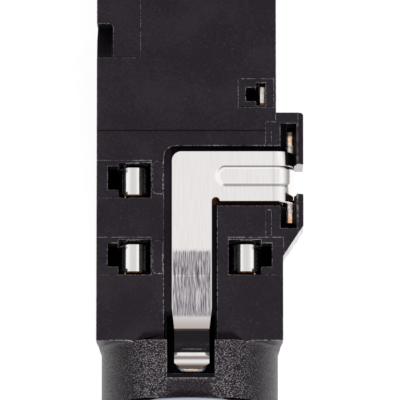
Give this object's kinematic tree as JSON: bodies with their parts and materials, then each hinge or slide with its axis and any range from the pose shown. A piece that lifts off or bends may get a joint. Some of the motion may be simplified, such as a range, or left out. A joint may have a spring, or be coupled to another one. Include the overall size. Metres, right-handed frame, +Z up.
{
  "type": "audio jack socket",
  "caption": "Board-mounted audio jack socket: black moulded housing with a round nose, threaded metal bush and sprung silver contacts that grip a plug.",
  "frame": {"origin": "on the board seat, under the plug axis, at the housing's panel face", "axes": "+Y from the panel face to the rear along the plug axis, +Z up from the board, +X to the side of the sleeve terminal"},
  "size_m": [0.0134, 0.0333, 0.0149],
  "materials": {
    "black_moulding": "matte black moulded thermoplastic, spark-eroded grain on the nose",
    "silver_strip": "silver-plated bronze strip with bare cut edges",
    "nickel_bush": "bright nickel plate on turned brass"
  },
  "bodies": {
    "socket": {"housing": "black_moulding", "bush": "nickel_bush", "sleeve_terminal": "silver_strip", "ring_terminal": "silver_strip", "tip_terminal": "silver_strip", "left_detect_terminal": "silver_strip", "right_detect_terminal": "silver_strip"},
    "sleeve_arm": {"sleeve_spring": "silver_strip"},
    "ring_arm": {"ring_spring": "silver_strip"},
    "tip_arm": {"tip_spring": "silver_strip"},
    "left_detect_arm": {"left_detect_spring": "silver_strip"},
    "right_detect_arm": {"right_detect_spring": "silver_strip"}
  },
  "joints": [
    {"name": "sleeve_flex", "type": "hinge", "parent": "socket", "child": "sleeve_arm", "pos_m": [0, 0.01083, 0.01005], "axis": [-1, 0, 0], "range_deg": [0, 2.5], "stiffness_Nm_per_rad": 0.9},
    {"name": "ring_flex", "type": "hinge", "parent": "socket", "child": "ring_arm", "pos_m": [-0.00443, 0.01068, 0.00839], "axis": [0, 1, 0], "range_deg": [0, 12], "stiffness_Nm_per_rad": 0.02},
    {"name": "tip_flex", "type": "hinge", "parent": "socket", "child": "tip_arm", "pos_m": [0.00473, 0.0162, 0.00854], "axis": [0, -1, 0], "range_deg": [0, 10], "stiffness_Nm_per_rad": 0.04},
    {"name": "left_detect_flex", "type": "hinge", "parent": "socket", "child": "left_detect_arm", "pos_m": [-0.00443, 0.00562, 0.00839], "axis": [0, 1, 0], "range_deg": [0, 12], "stiffness_Nm_per_rad": 0.02},
    {"name": "right_detect_flex", "type": "hinge", "parent": "socket", "child": "right_detect_arm", "pos_m": [0.00443, 0.00562, 0.00839], "axis": [0, -1, 0], "range_deg": [0, 12], "stiffness_Nm_per_rad": 0.02}
  ]
}
